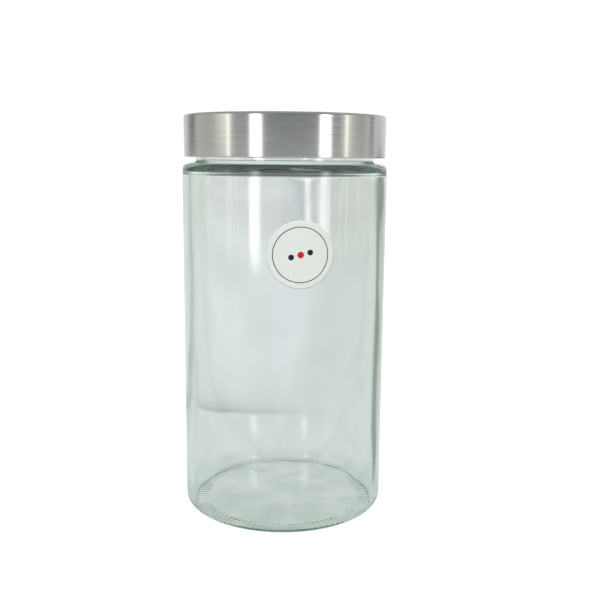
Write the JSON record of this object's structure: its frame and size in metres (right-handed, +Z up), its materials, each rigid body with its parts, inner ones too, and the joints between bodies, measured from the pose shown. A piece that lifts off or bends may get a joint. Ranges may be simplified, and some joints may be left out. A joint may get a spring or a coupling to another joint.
{
  "type": "glass storage jar",
  "caption": "Straight-sided round jar of thick clear glass for dry food, with a flat brushed steel screw lid and a round paper sticker.",
  "frame": {"origin": "centre of the flat ring that the jar stands on", "axes": "+Z up along the jar's axis; -Y is the front, where the sticker is; +X is to the right as seen from the front"},
  "size_m": [0.1, 0.1001, 0.1945],
  "materials": {
    "glass_jar": "clear glass with a slight green tint",
    "lid_shell": "brushed in circles round the lid's axis",
    "lid_insert": "plain moulded plastic",
    "sticker": "smooth white paper with a small plain print"
  },
  "bodies": {
    "root": {"glass_jar": "glass_jar", "lid_shell": "lid_shell", "lid_insert": "lid_insert", "sticker": "sticker"}
  },
  "joints": []
}
